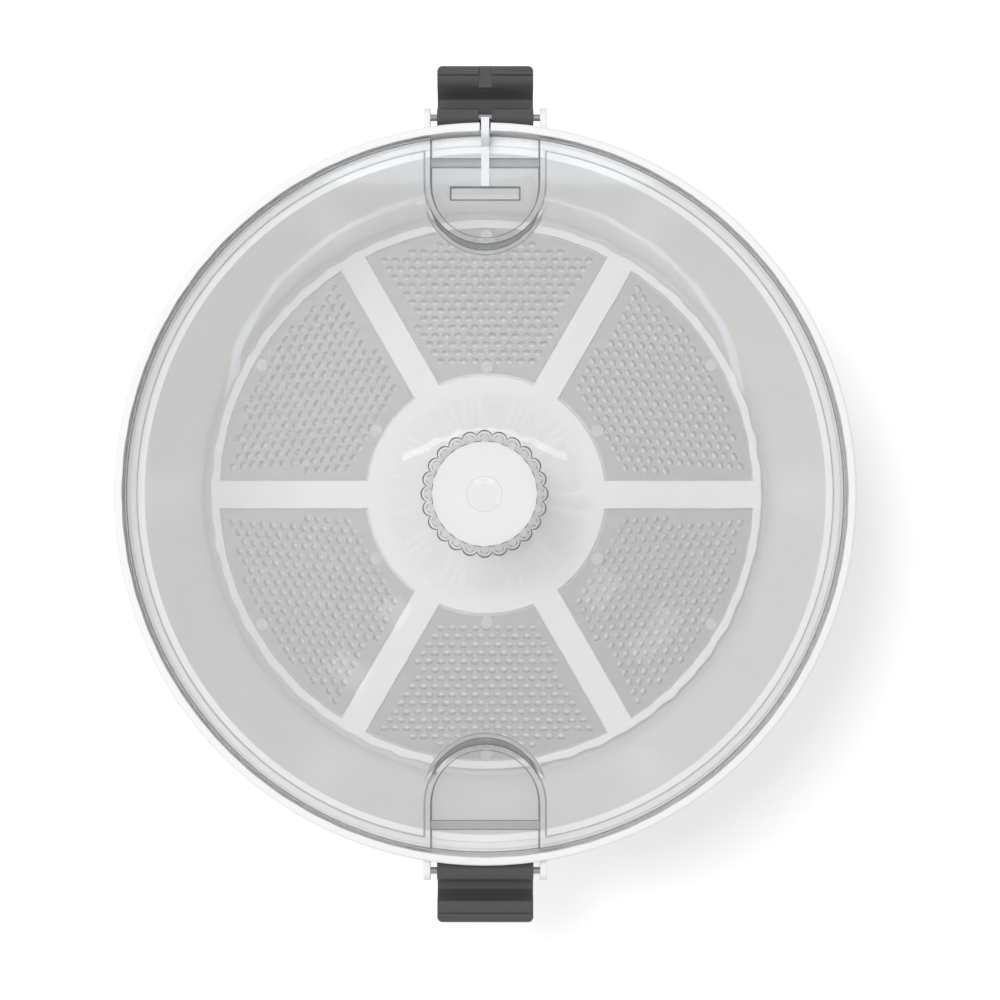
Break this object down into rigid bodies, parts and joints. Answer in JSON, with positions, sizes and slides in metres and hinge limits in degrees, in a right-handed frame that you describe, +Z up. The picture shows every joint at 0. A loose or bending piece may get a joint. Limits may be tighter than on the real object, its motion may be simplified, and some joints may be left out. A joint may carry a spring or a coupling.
{
  "type": "electric potato peeler",
  "caption": "Round countertop potato peeler: white motor base and bowl, spinning grater disc, clear domed lid with fluted cap and two side clips.",
  "frame": {"origin": "centre of the overall box at its bottom, on the floor under the middle of the feet", "axes": "+Z up along the spindle, +X through the right clip and the interlock tower, -Y to the switch knob"},
  "size_m": [0.291, 0.25, 0.2547],
  "materials": {
    "white_plastic": "satin",
    "clear_plastic": "clear, gloss",
    "dark_plastic": "satin",
    "grey_plastic": "satin",
    "stainless": "brushed",
    "plated_steel": "plated",
    "cast_aluminium": "cast",
    "electrical_steel": "laminated",
    "copper_winding": "enamelled",
    "bronze": "sintered",
    "gear_plastic": "natural",
    "dark_rubber": "matte",
    "silicone": "matte",
    "wire_insulation": "satin"
  },
  "bodies": {
    "base": {"base_housing": "white_plastic", "bottom_cover": "white_plastic", "feet": "dark_rubber", "cover_screws": "plated_steel", "bowl": "white_plastic", "bowl_screws": "plated_steel", "deck_gasket": "silicone", "clip_pins": "stainless", "upper_bush": "bronze", "lower_bush": "bronze", "shaft_seal": "dark_rubber", "gear_plate": "cast_aluminium", "gear_plate_screws": "plated_steel", "intermediate_axle": "stainless", "motor_stator": "electrical_steel", "motor_coil": "copper_winding", "motor_upper_bracket": "cast_aluminium", "motor_lower_bracket": "cast_aluminium", "motor_bushes": "bronze", "motor_bolts": "plated_steel", "rotary_switch": "dark_plastic", "switch_nut": "plated_steel", "knob_trim": "grey_plastic", "rod_spring": "plated_steel", "microswitch": "dark_plastic", "cord_gland": "dark_rubber", "terminal_block": "white_plastic", "inner_wires": "wire_insulation"},
    "lid_body": {"lid": "clear_plastic", "lid_seal": "silicone"},
    "cap": {"lid_knob": "clear_plastic", "knob_insert": "white_plastic"},
    "left_clip": {"clip_left": "dark_plastic"},
    "right_clip": {"clip_right": "dark_plastic"},
    "spindle": {"main_shaft": "stainless", "output_gear": "gear_plastic", "shaft_circlip": "plated_steel", "thrust_washer": "bronze"},
    "disc": {"disc_carrier": "white_plastic", "grater_plate_1": "stainless", "grater_plate_2": "stainless", "grater_plate_3": "stainless", "grater_plate_4": "stainless", "grater_plate_5": "stainless", "grater_plate_6": "stainless", "plate_rivets": "stainless", "drive_socket": "plated_steel"},
    "idler": {"intermediate_gear": "gear_plastic"},
    "rotor": {"motor_shaft": "stainless", "motor_rotor": "electrical_steel", "motor_pinion": "bronze", "cooling_fan": "dark_plastic"},
    "knob": {"control_knob": "dark_plastic", "knob_pointer": "white_plastic"},
    "interlock_rod": {"push_rod": "white_plastic"},
    "plunger": {"switch_plunger": "grey_plastic"}
  },
  "joints": [
    {"name": "lid_lift", "type": "slide", "parent": "base", "child": "lid_body", "axis": [0, 0, 1], "range_m": [0, 0.12]},
    {"name": "cap_turn", "type": "hinge", "parent": "lid_body", "child": "cap", "pos_m": [0, 0, 0.245], "axis": [0, 0, 1], "range_deg": [0, 60]},
    {"name": "left_clip_swing", "type": "hinge", "parent": "base", "child": "left_clip", "pos_m": [-0.1275, 0, 0.207], "axis": [0, 1, 0], "range_deg": [0, 180]},
    {"name": "right_clip_swing", "type": "hinge", "parent": "base", "child": "right_clip", "pos_m": [0.1275, 0, 0.207], "axis": [0, -1, 0], "range_deg": [0, 180]},
    {"name": "spindle_spin", "type": "hinge", "parent": "base", "child": "spindle", "pos_m": [0, 0, 0.09], "axis": [0, 0, 1], "continuous": true},
    {"name": "disc_lift", "type": "slide", "parent": "spindle", "child": "disc", "axis": [0, 0, 1], "range_m": [0, 0.06]},
    {"name": "idler_spin", "type": "hinge", "parent": "base", "child": "idler", "pos_m": [-0.03818, 0.03818, 0.08], "axis": [0, 0, 1], "continuous": true},
    {"name": "rotor_spin", "type": "hinge", "parent": "base", "child": "rotor", "pos_m": [-0.062, 0, 0.045], "axis": [0, 0, 1], "continuous": true},
    {"name": "switch_turn", "type": "hinge", "parent": "base", "child": "knob", "pos_m": [0, -0.113, 0.052], "axis": [0, -1, 0], "range_deg": [-90, 0]},
    {"name": "rod_press", "type": "slide", "parent": "base", "child": "interlock_rod", "axis": [0, 0, -1], "range_m": [0, 0.003], "stiffness_N_per_m": 300, "springref_m": -0.002, "deforming": ["rod_spring"]},
    {"name": "plunger_press", "type": "slide", "parent": "base", "child": "plunger", "axis": [0, 0, -1], "range_m": [0, 0.003]}
  ],
  "couplings": [
    {"joint": "idler_spin", "follows": "spindle_spin", "ratio": -3.5},
    {"joint": "rotor_spin", "follows": "spindle_spin", "ratio": 12.25},
    {"joint": "plunger_press", "follows": "rod_press", "ratio": 1}
  ]
}
